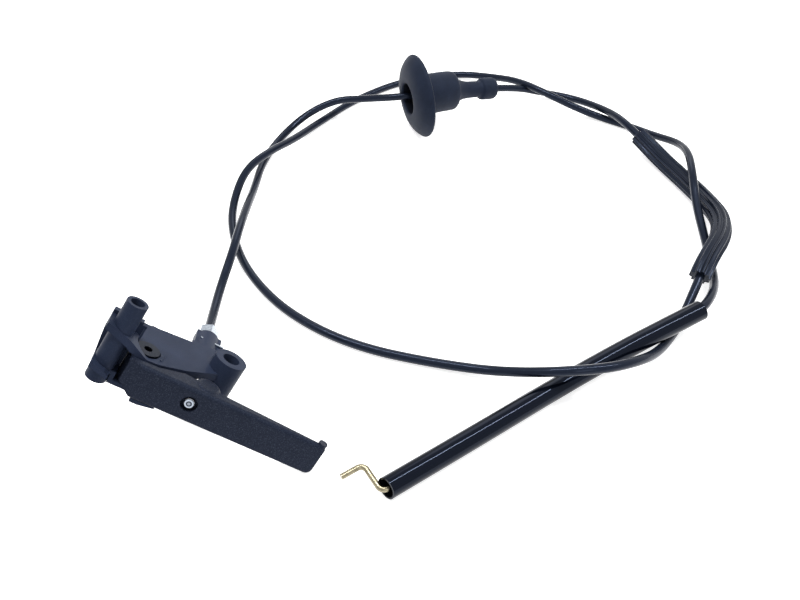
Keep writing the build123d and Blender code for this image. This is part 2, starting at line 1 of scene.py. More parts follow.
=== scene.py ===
# %% [markdown]
# # Hood release cable
# A hood release is a small lever in a car's footwell that pulls a steel wire through a long black
# cable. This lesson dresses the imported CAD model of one. The rigid mouldings stay as they are and
# get real finishes, and everything soft is modelled again here: the cable, its sheath and sleeve,
# the rubber grommet and the bare wire.

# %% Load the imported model
import math

import bmesh
import bpy
from mathutils import Matrix, Vector


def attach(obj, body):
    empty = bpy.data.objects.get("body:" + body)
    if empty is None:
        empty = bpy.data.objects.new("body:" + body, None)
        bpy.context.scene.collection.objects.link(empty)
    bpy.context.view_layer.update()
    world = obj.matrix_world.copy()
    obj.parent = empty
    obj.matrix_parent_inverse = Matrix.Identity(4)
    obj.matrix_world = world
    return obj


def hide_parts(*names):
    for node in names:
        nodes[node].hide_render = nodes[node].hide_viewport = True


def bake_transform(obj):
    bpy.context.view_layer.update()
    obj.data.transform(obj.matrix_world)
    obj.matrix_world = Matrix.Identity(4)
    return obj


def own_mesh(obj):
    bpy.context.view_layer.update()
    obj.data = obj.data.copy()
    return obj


MM = 0.001
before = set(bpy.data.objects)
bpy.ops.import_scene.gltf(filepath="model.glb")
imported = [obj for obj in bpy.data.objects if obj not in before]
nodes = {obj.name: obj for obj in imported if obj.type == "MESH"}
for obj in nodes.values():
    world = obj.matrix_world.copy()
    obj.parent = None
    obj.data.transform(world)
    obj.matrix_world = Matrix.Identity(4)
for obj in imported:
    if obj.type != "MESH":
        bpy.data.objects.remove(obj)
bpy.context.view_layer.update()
print("nodes", sorted(nodes))

# %% [markdown]
# ## Camera
# The photograph looks down on the table at 45 degrees. The focal length and the place follow from
# how the cable's width grows towards the viewer. A camera could also be aimed with a Track To
# constraint, but three fixed numbers and one tilt say the same and can't drift.

# %% Camera
CAMERA_PLACE = (0.0812, -0.217, 0.290)
CAMERA_TILT = 45.0
LENS_MM = 33.3
SENSOR_MM = 36.0
NEAREST_SEEN = 0.01
camera_data = bpy.data.cameras.new("camera")
camera_data.lens = LENS_MM
camera_data.sensor_width = SENSOR_MM
camera_data.clip_start = NEAREST_SEEN
camera = bpy.data.objects.new("camera", camera_data)
camera.location = CAMERA_PLACE
camera.rotation_euler = (math.radians(CAMERA_TILT), 0.0, 0.0)
bpy.context.scene.collection.objects.link(camera)
bpy.context.scene.camera = camera
print("camera at", CAMERA_PLACE)

# %% [markdown]
# ## Cable
# The cable is one length of jacketed spiral conduit, 5 mm thick, laid in two loose turns. Its line is
# one NURBS spline whose control points are the route of the CAD source, in metres. The order and
# the end flag are set after the points, or Blender keeps straight runs. The spline could carry a
# bevel, but a curve's bound box also takes in its control points, so the line is read from it and
# a mesh rod is swept along that. The first two points lie on the pull wire's line, so that the
# cable leaves the handle straight. They are given in the handle's own directions, in millimetres.

# %% The handle's directions
HANDLE_PLACE = Vector((-0.04407, -0.0215, 0.051985))
ALONG_LEVER = Vector((0.818565, -0.075958, -0.56937))
ACROSS_LEVER = Vector((-0.159113, 0.922448, -0.351813))
ALONG_PIVOT = Vector((0.551937, 0.378576, 0.742998))


def handle_point(along, back, up):
    """A point given in the handle's own directions, in millimetres, as a point of the frame."""
    return HANDLE_PLACE + MM * (along * ALONG_LEVER + back * ACROSS_LEVER + up * ALONG_PIVOT)


WIRE_TILT = math.radians(2.5)
LEVER_FACE = -10.0
WIRE_ALONG = 37.2
WIRE_UP = 9.6
SEAT_DEPTH = 53.0
EXIT_DEPTH = 71.8
WIRE_IN_FACE = handle_point(WIRE_ALONG, LEVER_FACE, WIRE_UP)
WIRE_WAY = math.sin(WIRE_TILT) * ALONG_LEVER + math.cos(WIRE_TILT) * ACROSS_LEVER


def on_wire(depth):
    """A point of the pull wire's line, at a depth in millimetres behind the pivot line."""
    return WIRE_IN_FACE + MM * (depth - LEVER_FACE) * WIRE_WAY


CABLE_START = on_wire(SEAT_DEPTH)
CABLE_EXIT = on_wire(EXIT_DEPTH)
print("cable starts at", [round(side, 4) for side in CABLE_START])

# %% Cable route
CABLE_DIAMETER = 0.005
CABLE_SEGMENTS = 28
CURVE_STEPS = 12
ROUTE = [
    (-0.0178, 0.076, 0.0065), (-0.0138, 0.098, 0.0125), (-0.0128, 0.12, 0.0135),
    (-0.0128, 0.146, 0.009), (-0.0128, 0.172, 0.003), (-0.0118, 0.202, 0.0026),
    (-0.0028, 0.233, 0.0026), (0.0142, 0.255, 0.008), (0.0352, 0.262, 0.015),
    (0.0542, 0.258, 0.018), (0.0802, 0.2465, 0.026), (0.1117, 0.2564, 0.0247),
    (0.1649, 0.2821, 0.0142), (0.1892, 0.291, 0.0045), (0.2122, 0.284, 0.0035),
    (0.2282, 0.262, 0.008), (0.2352, 0.239, 0.014), (0.2452, 0.218, 0.0115),
    (0.2562, 0.198, 0.0066), (0.2652, 0.175, 0.0066), (0.2712, 0.151, 0.0085),
    (0.2722, 0.128, 0.013), (0.2642, 0.106, 0.017), (0.2502, 0.087, 0.017),
    (0.2392, 0.0675, 0.0095), (0.2312, 0.0545, 0.0032), (0.2222, 0.042, 0.0032),
    (0.2102, 0.027, 0.008), (0.1962, 0.015, 0.016), (0.1792, 0.007, 0.0205),
    (0.1592, 0.005, 0.0205), (0.1412, 0.011, 0.0125), (0.1222, 0.0195, 0.004),
    (0.0932, 0.0265, 0.0026), (0.0632, 0.035, 0.0026), (0.0362, 0.049, 0.0026),
    (0.0112, 0.07, 0.0026), (-0.0098, 0.1, 0.0026), (-0.0218, 0.133, 0.0026),
    (-0.0233, 0.158, 0.006), (-0.0178, 0.18, 0.013), (-0.0048, 0.2, 0.013),
    (0.0072, 0.223, 0.0065), (0.0222, 0.251, 0.0026), (0.0472, 0.284, 0.0026),
    (0.0842, 0.313, 0.0026), (0.1262, 0.324, 0.0026), (0.1542, 0.31, 0.007),
    (0.1702, 0.291, 0.014), (0.1882, 0.273, 0.014), (0.2092, 0.265, 0.007),
    (0.2282, 0.258, 0.0026), (0.2452, 0.247, 0.0026), (0.2592, 0.231, 0.005),
    (0.2692, 0.21, 0.0125), (0.2672, 0.186, 0.02), (0.2632, 0.164, 0.02),
    (0.2622, 0.143, 0.011), (0.2632, 0.12, 0.0034), (0.2602, 0.098, 0.003),
    (0.2562, 0.0805, 0.006), (0.2487, 0.0655, 0.011), (0.2377, 0.0512, 0.0139),
    (0.2122, 0.038, 0.0111), (0.1872, 0.025, 0.0074), (0.1562, 0.0065, 0.0047),
    (0.1172, -0.02, 0.0047), (0.1022, -0.03, 0.0047),
]


def line_of(name, points):
    """The middle line of an open NURBS spline with given control points, as a list of points."""
    data = bpy.data.curves.new(name, "CURVE")
    data.dimensions = "3D"
    data.resolution_u = CURVE_STEPS
    spline = data.splines.new("NURBS")
    spline.points.add(len(points) - 1)
    for point, place in zip(spline.points, points):
        point.co = (*place, 1.0)
    spline.order_u = 3
    spline.use_endpoint_u = True
    curve = bpy.data.objects.new(name, data)
    mesh = bpy.data.meshes.new_from_object(curve)
    line = [vertex.co.copy() for vertex in mesh.vertices]
    bpy.data.objects.remove(curve)
    bpy.data.meshes.remove(mesh)
    return line


cable_points = [CABLE_START, CABLE_EXIT] + [Vector(place) for place in ROUTE]
cable_line = line_of("cable_line", cable_points)
print("cable control points", len(cable_points), "line points", len(cable_line))

# %% [markdown]
# ## Sweeping along the line
# Cable, sheath and sleeve are all a ring extruded along a line. A curve's own bevel could do it for
# the cable, but not for the slit sheath or for a tube with a wall, so one function serves them all.
# Each step turns the ring by the smallest rotation from one direction to the next, so that it
# doesn't twist. The sheath takes a stretch of the cable's own line, which keeps it on the cable
# whatever the route is.

# %% Sweeping a ring
def part_of_line(line, first, last):
    """The stretch of a line between the points nearest to two places."""
    start = min(range(len(line)), key=lambda i: (line[i] - Vector(first)).length)
    end = min(range(len(line)), key=lambda i: (line[i] - Vector(last)).length)
    return line[start:end + 1]


def directions_of(line):
    """The direction of a line at each of its points."""
    ways = []
    for i in range(len(line)):
        ways.append((line[min(i + 1, len(line) - 1)] - line[max(i - 1, 0)]).normalized())
    return ways


def sweep_ring(work, ring, line):
    """Extrudes a closed ring, drawn round the origin and facing Z, along a line with sharp end rims."""
    ways = directions_of(line)
    turn = Vector((0, 0, 1)).rotation_difference(ways[0]).to_matrix().to_4x4()
    bmesh.ops.transform(work, matrix=Matrix.Translation(line[0]) @ turn, verts=ring)
    first = list(ring)
    edges = [edge for edge in work.edges if edge.verts[0] in ring and edge.verts[1] in ring]
    for here, there, way, next_way in zip(line, line[1:], ways, ways[1:]):
        grown = bmesh.ops.extrude_edge_only(work, edges=edges)["geom"]
        edges = [item for item in grown if isinstance(item, bmesh.types.BMEdge)]
        ring = [item for item in grown if isinstance(item, bmesh.types.BMVert)]
        turn = way.rotation_difference(next_way).to_matrix().to_4x4()
        move = Matrix.Translation(there) @ turn @ Matrix.Translation(-here)
        bmesh.ops.transform(work, matrix=move, verts=ring)
        edges = [edge for edge in edges if edge.verts[0] in ring and edge.verts[1] in ring]
    for end_ring in (set(first), set(ring)):
        for edge in work.edges:
            if end_ring.issuperset(edge.verts):
                edge.smooth = False
    return first, ring


def finish_mesh(name, work, body="root", smooth=True):
    """Turns a bmesh into an object at the origin that rides on a CAD body."""
    bmesh.ops.recalc_face_normals(work, faces=work.faces)
    mesh = bpy.data.meshes.new(name)
    work.to_mesh(mesh)
    work.free()
    for face in mesh.polygons:
        face.use_smooth = smooth
    piece = bpy.data.objects.new(name, mesh)
    bpy.context.scene.collection.objects.link(piece)
    if body:
        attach(piece, body)
    print(name, "faces", len(mesh.polygons))
    return piece


def rod_mesh(line, radius, segments):
    """A round rod along a line, closed at both ends."""
    work = bmesh.new()
    ring = bmesh.ops.create_circle(work, cap_ends=False, segments=segments, radius=radius)["verts"]
    for end_ring in sweep_ring(work, ring, line):
        bmesh.ops.contextual_create(work, geom=end_ring)
    return work


print("directions along the cable", len(directions_of(cable_line)))

# %% Cable jacket
cable = finish_mesh("cable_jacket", rod_mesh(cable_line, CABLE_DIAMETER / 2, CABLE_SEGMENTS))
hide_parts("outer_conduit")

# %% [markdown]
# ## Split sheath
# A length of ribbed tube, slit along one side, is pushed over the cable where the turns rub on each
# other. Its ridges run lengthwise. A bump could draw them, but the ends show them in outline, so
# they are real: the wall is one closed ring, out over the ridges and back along the bore, and it is
# swept along the cable.

# %% Sheath
SHEATH_BORE = 0.0031
SHEATH_RADIUS = 0.0046
SHEATH_RIDGE = 0.0013
SHEATH_RIDGES = 10
RIDGE_SHARPNESS = 1.2
SHEATH_SLIT = math.radians(13)
SHEATH_STEPS = 120
BORE_STRIDE = 4
SHEATH_FROM = (0.2440, 0.220, 0.0115)
SHEATH_TO = (0.2447, 0.077, 0.013)


def sheath_ring(work):
    """The sheath's wall in section: a ridged outside and a plain bore, open at the slit."""
    places = []
    span = 2 * math.pi - 2 * SHEATH_SLIT
    out_and_back = list(range(SHEATH_STEPS + 1)) + list(range(SHEATH_STEPS, -1, -BORE_STRIDE))
    for count, step in enumerate(out_and_back):
        turn = span * step / SHEATH_STEPS
        wave = 0.5 + 0.5 * math.cos(SHEATH_RIDGES * turn)
        outside = SHEATH_RADIUS + SHEATH_RIDGE * wave ** RIDGE_SHARPNESS
        radius = outside if count <= SHEATH_STEPS else SHEATH_BORE
        angle = turn + SHEATH_SLIT - math.pi / 2
        places.append((radius * math.cos(angle), radius * math.sin(angle), 0.0))
    ring = [work.verts.new(place) for place in places]
    for here, there in zip(ring, ring[1:] + ring[:1]):
        work.edges.new((here, there))
    return ring


sheath_mesh = bmesh.new()
sheath_line = part_of_line(cable_line, SHEATH_FROM, SHEATH_TO)
for end_ring in sweep_ring(sheath_mesh, sheath_ring(sheath_mesh), sheath_line):
    bmesh.ops.contextual_create(sheath_mesh, geom=end_ring)
sheath = finish_mesh("ribbed_sheath", sheath_mesh)
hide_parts("split_sheath")

# %% [markdown]
# ## Sleeve
# The glossy sleeve is a soft tube over the cable's far end and the hook's stem, cut a little aslant
# at its mouth. A Solidify modifier could give it its wall, but two plain circles swept along one
# line, with a quad between each pair of rim vertices, leave cleaner rims and let the bore take a
# matt finish of its own. When the hook is pulled in, its leg stands at the mouth and pushes the soft
# tube back along the cable.

# %% Sleeve
SLEEVE_RADIUS = 0.0052
SLEEVE_WALL = 0.0008
SLEEVE_SEGMENTS = 48
SLEEVE_ROUTE = [
    (0.2372, 0.051, 0.0144), (0.2122, 0.038, 0.0118), (0.1872, 0.025, 0.0081),
    (0.1562, 0.0065, 0.0054), (0.1172, -0.02, 0.0054), (0.0752, -0.048, 0.0054),
]
HOOK_WAY = (0.832, 0.5547, 0.0)
MOUTH_SLANT = 0.22
MOUTH_UP = Vector((0.3, -0.45, 0.84))


def tube_mesh(line, radius, wall, segments):
    """A tube with a wall, open at both ends and cut aslant at the last. Its bore is the second slot."""
    work = bmesh.new()
    skins = []
    for skin_radius in (radius, radius - wall):
        before = set(work.faces)
        ring = bmesh.ops.create_circle(work, cap_ends=False, segments=segments, radius=skin_radius)
        skins.append(sweep_ring(work, ring["verts"], line))
        for face in set(work.faces) - before:
            face.material_index = len(skins) - 1
    for outer, inner in zip(*skins):
        inside = {rim: min(inner, key=lambda other: (other.co - rim.co).length) for rim in outer}
        for here, there in [edge.verts for edge in work.edges if set(outer).issuperset(edge.verts)]:
            bmesh.ops.contextual_create(work, geom=[here, there, inside[there], inside[here]])
    for vertex in skins[0][1] + skins[1][1]:
        height = (vertex.co - line[-1]).dot(MOUTH_UP)
        vertex.co += MOUTH_SLANT * height * Vector(HOOK_WAY)
    return work


sleeve_line = line_of("sleeve_line", [Vector(place) for place in SLEEVE_ROUTE])
sleeve_mesh = tube_mesh(sleeve_line, SLEEVE_RADIUS, SLEEVE_WALL, SLEEVE_SEGMENTS)
sleeve = finish_mesh("gloss_sleeve", sleeve_mesh)
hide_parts("sleeve")
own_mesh(sleeve)

# %% [markdown]
# ## Grommet
# The grommet seals the hole where the cable goes through the car's bulkhead. It is moulded rubber,
# round about the cable. Cylinders could be stacked for it, but its flange and shoulders are all
# soft curves, so half of its section is drawn and spun. The section is a closed loop: up the hollow
# face of the flange, over its rim, down the back, along body, neck and collar, and back through the
# bore, whose faces take a second, darker slot of painted shade. The flange is soft and stands on
# its rim, so it leans: its part of the mesh is turned a few degrees, fading out along the body.

# %% Grommet section and spin
GROMMET_AT = 11
GROMMET_BACK = 0.0242
GROMMET_AXIS = (Vector(ROUTE[GROMMET_AT + 1]) - Vector(ROUTE[GROMMET_AT])).normalized()
GROMMET_PLACE = Vector(ROUTE[GROMMET_AT]) - GROMMET_BACK * GROMMET_AXIS
BORE_REACH = 0.0104
BORE_DEPTH = 0.0315
GROMMET_STEPS = 96
MERGE_WITHIN = 1e-6
GROMMET_SECTION = [
    (-3.0, 10.8), (-3.1, 12.5), (-3.0, 15.0), (-2.4, 18.0), (-1.2, 21.5), (0.8, 24.5),
    (3.4, 26.9), (4.6, 27.8), (5.6, 28.0), (6.5, 27.5), (6.8, 26.4), (6.2, 24.4),
    (5.6, 22.0), (5.5, 20.0), (6.0, 17.8), (7.2, 15.2), (9.0, 13.8), (12.0, 13.5),
    (20.0, 13.5), (29.0, 13.4), (30.8, 13.0), (31.8, 11.6), (32.2, 9.8), (33.2, 8.5),
    (36.0, 7.4), (40.0, 6.3), (44.0, 5.7), (53.6, 5.6), (54.4, 6.0), (55.0, 7.2),
    (56.0, 7.7), (60.0, 7.7), (64.6, 7.7), (66.2, 7.2), (67.0, 5.7), (66.9, 3.4),
    (66.0, 2.56), (58.0, 2.55), (41.0, 2.55), (34.0, 6.2), (28.0, 9.8), (24.0, 10.2),
    (10.0, 10.2), (0.0, 10.2), (-2.2, 10.3),
]
grommet_mesh = bmesh.new()
turned = Vector((0, 0, 1)).rotation_difference(GROMMET_AXIS).to_matrix().to_4x4()
grommet_section = [grommet_mesh.verts.new((MM * out, 0.0, MM * along))
                   for along, out in GROMMET_SECTION]
section_edges = [grommet_mesh.edges.new(pair)
                 for pair in zip(grommet_section, grommet_section[1:] + grommet_section[:1])]
bmesh.ops.spin(grommet_mesh, geom=grommet_section + section_edges, cent=(0, 0, 0), axis=(0, 0, 1),
               dvec=(0, 0, 0), angle=2 * math.pi, steps=GROMMET_STEPS, use_merge=True)
bmesh.ops.remove_doubles(grommet_mesh, verts=grommet_mesh.verts, dist=MERGE_WITHIN)
# The bore's faces take the second slot, whose darker rubber is painted shade.
for face in grommet_mesh.faces:
    middle = face.calc_center_median()
    if middle.z < BORE_DEPTH and middle.xy.length < BORE_REACH:
        face.material_index = 1
bmesh.ops.transform(grommet_mesh, matrix=Matrix.Translation(GROMMET_PLACE) @ turned,
                    verts=grommet_mesh.verts)
print("grommet section points", len(GROMMET_SECTION))

# %% The flange's lean
FLANGE_LEAN = math.radians(11.5)
FLANGE_TURN = math.radians(-5)
FLANGE_SHIFT = Vector((-0.0012, -0.0055, -0.0003))
LEAN_END = 0.045
lean_axis = GROMMET_AXIS.cross(Vector((0, 0, 1))).normalized()
for vertex in grommet_mesh.verts:
    along = (vertex.co - GROMMET_PLACE).dot(GROMMET_AXIS)
    share = min(max(1 - along / LEAN_END, 0.0), 1.0)
    share = share * share * (3 - 2 * share)
    turn = Matrix.Rotation(FLANGE_TURN * share, 3, "Z")
    turn = turn @ Matrix.Rotation(FLANGE_LEAN * share, 3, lean_axis)
    vertex.co = GROMMET_PLACE + FLANGE_SHIFT * share + turn @ (vertex.co - GROMMET_PLACE)
grommet = finish_mesh("rubber_grommet", grommet_mesh)
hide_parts("grommet")
softened = grommet.modifiers.new("softened", "SUBSURF")
softened.levels = 1
softened.render_levels = 1

# %% [markdown]
# ## Bare wire at the handle
# Between the lever and the cable's seat the inner wire is bare: thin steel strands laid round a
# core. A twisted bump on one rod could hint at them, but they also break up the wire's outline, so
# six strands are swept as helices round the wire's own line. One end goes with the lever and the
# other stays in the seat.

# %% Bare wire
WIRE_RADIUS = 0.00075
STRANDS = 6
STRAND_RADIUS = 0.00027
STRAND_LAY = 0.007
STRAND_SEGMENTS = 8
STEPS_PER_LAY = 14
WIRE_FROM = on_wire(-7.1)
WIRE_TO = on_wire(50.0)


def strand_line(start, end, turn_from, steps):
    """The middle line of one strand, a helix round the straight wire."""
    way = (end - start).normalized()
    side = way.orthogonal().normalized()
    other = way.cross(side)
    reach = WIRE_RADIUS - STRAND_RADIUS
    length = (end - start).length
    line = []
    for step in range(steps + 1):
        along = length * step / steps
        angle = turn_from + 2 * math.pi * along / STRAND_LAY
        line.append(start + along * way + reach * (math.cos(angle) * side + math.sin(angle) * other))
    return line


def strand_wire(name, start, end, body):
    """A wire of laid strands between two points."""
    steps = int((end - start).length / STRAND_LAY * STEPS_PER_LAY)
    work = bmesh.new()
    for strand in range(STRANDS):
        circle = bmesh.ops.create_circle(work, cap_ends=False, segments=STRAND_SEGMENTS,
                                         radius=STRAND_RADIUS)
        line = strand_line(start, end, 2 * math.pi * strand / STRANDS, steps)
        for end_ring in sweep_ring(work, circle["verts"], line):
            bmesh.ops.contextual_create(work, geom=end_ring)
    return finish_mesh(name, work, body)


pull_wire = strand_wire("bare_pull_wire", WIRE_FROM, WIRE_TO, None)
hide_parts("pull_wire")
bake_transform(pull_wire)

# %% [markdown]
# ## Finishes
# Colours are written as the hex values that a picture editor shows, and one function turns them
# into the linear numbers that shaders use. One more function adds a node with its settings and its
# links. Scanned pictures could carry the grain, but noise needs no files and holds up from close by.
# The patterns read Object coordinates, which are metres here, so a grain of 0.5 mm has a scale of
# about 1 / 0.0005.

# %% Colour and node helpers
SHEEN_TINT = "#BCCDF2"


def linear(hex_colour):
    """An sRGB hex colour as linear RGBA."""
    parts = [int(hex_colour[i:i + 2], 16) / 255 for i in (1, 3, 5)]
    return (*[c / 12.92 if c <= 0.04045 else ((c + 0.055) / 1.055) ** 2.4 for c in parts], 1.0)


def add_node(tree, kind, settings=None, **inputs):
    """Adds a node. Settings are its properties, and inputs are values or other nodes' sockets."""
    node = tree.nodes.new(kind)
    for name, value in (settings or {}).items():
        setattr(node, name, value)
    for name, value in inputs.items():
        key = int(name[1:]) if name[1:].isdigit() else name.replace("_", " ")
        if isinstance(value, bpy.types.NodeSocket):
            tree.links.new(value, node.inputs[key])
        else:
            node.inputs[key].default_value = value
    return node


def new_material(name):
    """An empty node material with its shader, its tree and the Object coordinates."""
    material = bpy.data.materials.new(name)
    material.use_nodes = True
    tree = material.node_tree
    shader = tree.nodes["Principled BSDF"]
    where = tree.nodes.new("ShaderNodeTexCoord").outputs["Object"]
    return material, tree, shader, where


def pattern_scale(size_mm):
    """The Scale of a noise on Object coordinates whose grains have this size."""
    return 1000.0 / size_mm


def cool_sheen(shader, level):
    """The bluish, muted sheen that black plastics and rubbers have under a daylight tent."""
    shader.inputs["Specular IOR Level"].default_value = level
    shader.inputs["Specular Tint"].default_value = linear(SHEEN_TINT)


def dress(material, *names):
    """Gives CAD nodes a material in place of their plain one."""
    for name in names:
        mesh = nodes[name].data
        mesh.materials.clear()
        mesh.materials.append(material)


print("sheen tint, linear", [round(part, 3) for part in linear(SHEEN_TINT)])

# %% [markdown]
# ## Moulded plastics
# Bracket and lever are injection moulded nylon, dyed black. The mould's surface decides how they
# look: the bracket's is fine and even, and the lever's is spark eroded, which leaves grains of
# about half a millimetre that break up the light. Displacement could raise the grain, but these
# meshes are loose triangles of the CAD, so a bump does it. Both get a colour that varies a little,
# in clouds about 17 mm across, a roughness that follows the grain, and pale flecks on the grain's
# tops that are painted glints.

# %% Bracket and lever plastic
NYLON_IOR = 1.53
CLOUD_SCALE = 60.0
GRAIN_LOW, GRAIN_HIGH = 0.3, 0.7
TOPS_LOW, TOPS_HIGH = 0.52, 0.68
# The colour of the painted glints on the grain's tops.
GLINT_FLECK_COLOUR = "#7C879E"


def moulded_plastic(name, deep, worn, grain_mm, grain_depth_mm, rough_low, rough_high, glint_fleck, sheen):
    """Black moulded plastic with the grain that its mould leaves, and painted glints on the grain's tops.
    """
    material, tree, shader, where = new_material(name)
    cloud = add_node(tree, "ShaderNodeTexNoise", None, Vector=where, Scale=CLOUD_SCALE, Detail=4.0)
    grain = add_node(tree, "ShaderNodeTexNoise", None, Vector=where,
                     Scale=pattern_scale(grain_mm), Detail=3.0, Roughness=0.6)
    tint = add_node(tree, "ShaderNodeMix", {"data_type": "RGBA"}, _0=cloud.outputs["Fac"])
    tint.inputs[6].default_value = linear(deep)
    tint.inputs[7].default_value = linear(worn)
    # The grain's tops get pale flecks, which are painted glints.
    tops = add_node(tree, "ShaderNodeMapRange", None, Value=grain.outputs["Fac"])
    tops.inputs["From Min"].default_value = TOPS_LOW
    tops.inputs["From Max"].default_value = TOPS_HIGH
    tops.inputs["To Max"].default_value = glint_fleck
    lit = add_node(tree, "ShaderNodeMix", {"data_type": "RGBA"},
                   _0=tops.outputs["Result"], _6=tint.outputs[2])
    lit.inputs[7].default_value = linear(GLINT_FLECK_COLOUR)
    tree.links.new(lit.outputs[2], shader.inputs["Base Color"])
    rough = add_node(tree, "ShaderNodeMapRange", None, Value=grain.outputs["Fac"])
    rough.inputs["From Min"].default_value = GRAIN_LOW
    rough.inputs["From Max"].default_value = GRAIN_HIGH
    rough.inputs["To Min"].default_value = rough_low
    rough.inputs["To Max"].default_value = rough_high
    tree.links.new(rough.outputs["Result"], shader.inputs["Roughness"])
    bump = add_node(tree, "ShaderNodeBump", None, Height=grain.outputs["Fac"],
                    Distance=MM * grain_depth_mm, Strength=1.0)
    tree.links.new(bump.outputs["Normal"], shader.inputs["Normal"])
    shader.inputs["IOR"].default_value = NYLON_IOR
    cool_sheen(shader, sheen)
    return material


bracket_plastic = moulded_plastic("moulded_nylon_fine", "#1C2230", "#2A3246",
                                  grain_mm=0.4, grain_depth_mm=0.02,
                                  rough_low=0.38, rough_high=0.50, glint_fleck=0.04, sheen=0.08)
lever_plastic = moulded_plastic("moulded_nylon_eroded", "#10141F", "#171C29",
                                grain_mm=0.45, grain_depth_mm=0.09,
                                rough_low=0.38, rough_high=0.58, glint_fleck=0.12, sheen=0.15)
dress(bracket_plastic, "bracket")
dress(lever_plastic, "lever")
print("plastics on", [nodes[name].data.materials[0].name for name in ("bracket", "lever")])

# %% [markdown]
# ## Cable jacket, sleeve, sheath and grommet
# The jacket is extruded polyethylene, glossy, with the slow unevenness that drawing leaves. The
# sleeve is soft vinyl with a wet shine and a matt bore, whose darker colour is painted shade. The
# sheath is extruded too, and duller. The grommet is moulded rubber: matt, with a greyish bloom in
# patches of about 11 mm and pores of half a millimetre. Its bore is darker, which is painted shade.
# One plain black could serve them all, but then nothing would tell vinyl from rubber, so each kind
# of skin has its own function.

# %% Extruded finishes
VINYL_IOR = 1.5
SCUFF = 0.06
SMOOTHEST = 0.02


def extruded_black(name, colour, rough, wave_mm, wave_depth_mm, sheen):
    """An extruded black skin with the slow unevenness that drawing leaves."""
    material, tree, shader, where = new_material(name)
    uneven = add_node(tree, "ShaderNodeTexNoise", None, Vector=where,
                      Scale=pattern_scale(wave_mm), Detail=2.0)
    bump = add_node(tree, "ShaderNodeBump", None, Height=uneven.outputs["Fac"],
                    Distance=MM * wave_depth_mm, Strength=1.0)
    tree.links.new(bump.outputs["Normal"], shader.inputs["Normal"])
    shader.inputs["Base Color"].default_value = linear(colour)
    scuff = add_node(tree, "ShaderNodeMapRange", None, Value=uneven.outputs["Fac"])
    scuff.inputs["To Min"].default_value = max(rough - SCUFF, SMOOTHEST)
    scuff.inputs["To Max"].default_value = rough + SCUFF
    tree.links.new(scuff.outputs["Result"], shader.inputs["Roughness"])
    shader.inputs["IOR"].default_value = VINYL_IOR
    cool_sheen(shader, sheen)
    return material


jacket_black = extruded_black("extruded_polyethylene", "#121722",
                              rough=0.16, wave_mm=4.0, wave_depth_mm=0.05, sheen=0.24)
sleeve_vinyl = extruded_black("extruded_soft_vinyl", "#070A12",
                              rough=0.07, wave_mm=14.0, wave_depth_mm=0.10, sheen=0.2)
# The bore's vinyl is a little darker than the sleeve's, which is painted shade; its roughness makes it
# matt.
shaded_bore_vinyl = extruded_black("extruded_vinyl_bore_painted_shade", "#05070C",
                            rough=0.60, wave_mm=6.0, wave_depth_mm=0.05, sheen=0.05)
sheath_black = extruded_black("extruded_ribbed_vinyl", "#121722",
                              rough=0.22, wave_mm=5.0, wave_depth_mm=0.06, sheen=0.24)
cable.data.materials.append(jacket_black)
sleeve.data.materials.append(sleeve_vinyl)
sleeve.data.materials.append(shaded_bore_vinyl)
sheath.data.materials.append(sheath_black)
print("sleeve slots", [material.name for material in sleeve.data.materials])

# %% Rubber
RUBBER_IOR = 1.52
RUBBER_ROUGHNESS = 0.58
RUBBER_SHEEN = 0.14
BLOOM_SCALE = 90.0
PORE_SCALE = 2200.0
PORE_DEPTH = 0.00002


def moulded_rubber(name, colour, bloom):
    """Matt rubber with a grey bloom in soft patches."""
    material, tree, shader, where = new_material(name)
    patches = add_node(tree, "ShaderNodeTexNoise", None, Vector=where,
                       Scale=BLOOM_SCALE, Detail=5.0, Roughness=0.65)
    pores = add_node(tree, "ShaderNodeTexNoise", None, Vector=where, Scale=PORE_SCALE, Detail=2.0)
    tint = add_node(tree, "ShaderNodeMix", {"data_type": "RGBA"}, _0=patches.outputs["Fac"])
    tint.inputs[6].default_value = linear(colour)
    tint.inputs[7].default_value = linear(bloom)
    tree.links.new(tint.outputs[2], shader.inputs["Base Color"])
    bump = add_node(tree, "ShaderNodeBump", None, Height=pores.outputs["Fac"],
                    Distance=PORE_DEPTH, Strength=1.0)
    tree.links.new(bump.outputs["Normal"], shader.inputs["Normal"])
    shader.inputs["Roughness"].default_value = RUBBER_ROUGHNESS
    shader.inputs["IOR"].default_value = RUBBER_IOR
    cool_sheen(shader, RUBBER_SHEEN)
    return material


grommet_rubber = moulded_rubber("moulded_rubber_matt", "#10141D", "#202737")
# The bore's darker rubber is painted shade.
shaded_bore_rubber = moulded_rubber("moulded_rubber_bore_painted_shade", "#05060A", "#0A0C12")
grommet.data.materials.append(grommet_rubber)
grommet.data.materials.append(shaded_bore_rubber)
print("grommet slots", [material.name for material in grommet.data.materials])

# %% [markdown]
# ## Metals
# Nut, clip, ferrule and stop are steel with a thin bright zinc plating, and the pivot pin's plating
# is blackened. The hooked rod is plated too and then passivated yellow, which gives steel a pale
# gold. Under a white tent metal mirrors little but white, so the tone comes from the base colour,
# and fine marks come from roughness. The stop's face has rings: the wire's cut end, the dark gap
# round it and the swaged face. They could be cut into the mesh, but it is a CAD node, so a ramp
# over the distance from the wire's line draws them.

# %% Plated steels
NIPPLE_RADIUS = 0.0023
NIPPLE_ROUGHNESS = 0.28


